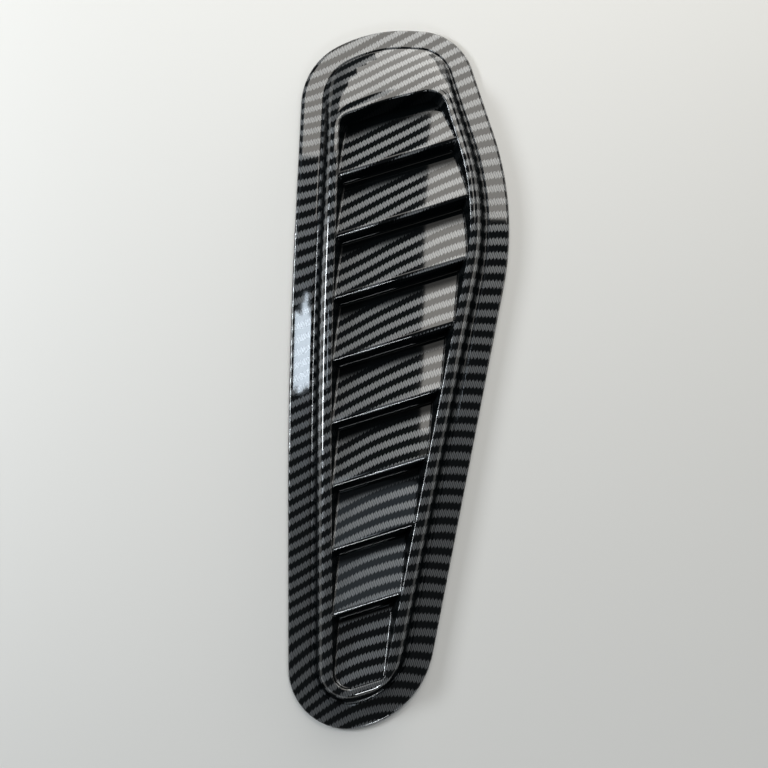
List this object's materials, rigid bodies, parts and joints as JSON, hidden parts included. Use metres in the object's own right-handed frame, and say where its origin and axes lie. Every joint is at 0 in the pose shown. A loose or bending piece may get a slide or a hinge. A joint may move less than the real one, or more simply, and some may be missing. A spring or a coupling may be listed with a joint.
{
  "type": "hood louver",
  "caption": "Slim tapered hood louver panel with a flat bonding rim, raised frame, domed cowl and slanted blind louvre steps, glossy carbon-look print.",
  "frame": {"origin": "middle of the panel's outline, on the flat bonding face of the rim", "axes": "+Y from the narrow tail to the wide domed cowl, +Z away from the hood"},
  "size_m": [0.1239, 0.4002, 0.0152],
  "materials": {
    "printed_shell": "gloss clear coat over a printed dark grey and black carbon-look weave"
  },
  "bodies": {
    "root": {"louver_panel": "printed_shell"}
  },
  "joints": []
}
